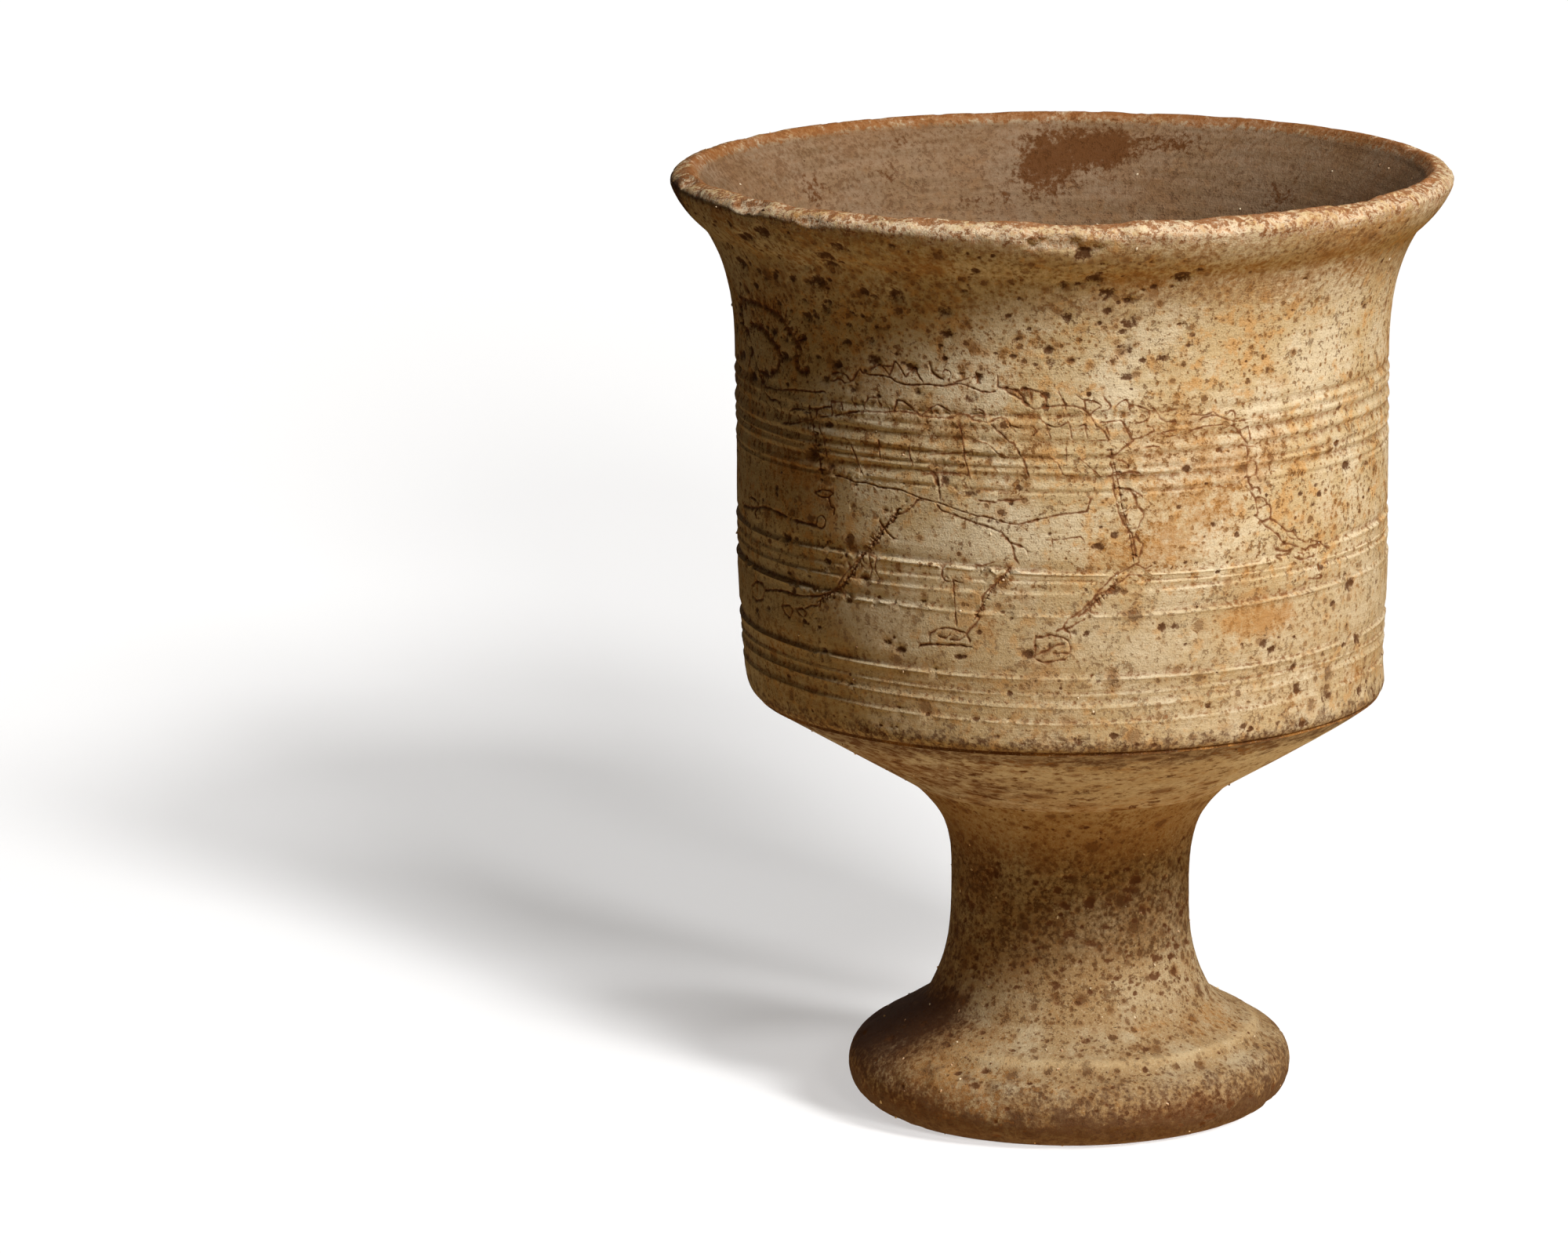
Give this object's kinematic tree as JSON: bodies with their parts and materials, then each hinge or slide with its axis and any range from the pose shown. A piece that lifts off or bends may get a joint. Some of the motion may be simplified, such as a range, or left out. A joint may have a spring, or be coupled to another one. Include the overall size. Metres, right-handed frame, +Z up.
{
  "type": "pedestal chalice",
  "caption": "Terracotta chalice: a straight-sided bowl with a flared lip and turned groove bands, on a waisted hollow stem with a rounded spreading foot.",
  "frame": {"origin": "centre of the foot's underside, on the plane that the vessel stands on", "axes": "+Z up along the vessel's axis, -Y towards the viewer of the picture, +X to that viewer's right"},
  "size_m": [0.1708, 0.1708, 0.21],
  "materials": {
    "clay": "unglazed fired clay, matt",
    "worn_clay": "unglazed fired clay, worn and stained",
    "slip": "fired slip in the joints, matt"
  },
  "bodies": {
    "root": {"foot": "worn_clay", "foot_slip": "slip", "stem": "clay", "stem_slip": "slip", "stem_collar": "clay", "bowl_base": "clay", "seam_slip": "slip", "bowl_wall": "clay"}
  },
  "joints": []
}
